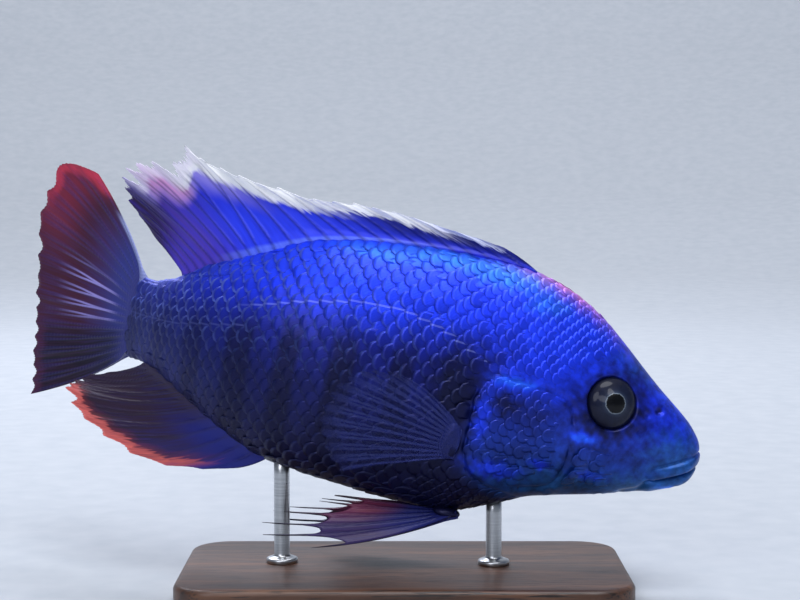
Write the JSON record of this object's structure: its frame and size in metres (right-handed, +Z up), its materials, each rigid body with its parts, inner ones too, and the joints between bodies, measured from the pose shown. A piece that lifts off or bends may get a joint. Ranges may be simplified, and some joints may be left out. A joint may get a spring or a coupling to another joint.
{
  "type": "peacock cichlid display model",
  "caption": "Life-size still model of a deep-bodied blue cichlid, nose down and turning, with rayed fins, held over a small oval-cornered plinth by two short rods.",
  "frame": {"origin": "centre of the plinth's underside", "axes": "+X towards the fish's snout, +Y to the fish's left, +Z up"},
  "size_m": [0.1346, 0.0676, 0.0846],
  "materials": {
    "scaled_skin": "satin blue scaled skin with faint dark bars",
    "head_skin": "satin blue skin, brighter on the nape and lips",
    "eye": "glossy dark eye with a thin pale ring round the pupil",
    "fin": "thin rayed web, blue at the body and red or white at the edge",
    "stand_wood": "oiled dark walnut",
    "stand_steel": "brushed stainless rod"
  },
  "bodies": {
    "root": {"head": "head_skin", "lower_jaw": "head_skin", "gill_cover_left": "head_skin", "gill_cover_right": "head_skin", "eye_left": "eye", "eye_right": "eye", "trunk": "scaled_skin", "tail_stem": "scaled_skin", "dorsal_fin_spiny": "fin", "dorsal_fin_soft": "fin", "anal_fin": "fin", "tail_fin": "fin", "pectoral_fin_left": "fin", "pectoral_fin_right": "fin", "pelvic_fin_left": "fin", "pelvic_fin_right": "fin", "stand_base": "stand_wood", "stand_rod_front": "stand_steel", "stand_rod_rear": "stand_steel"}
  },
  "joints": []
}
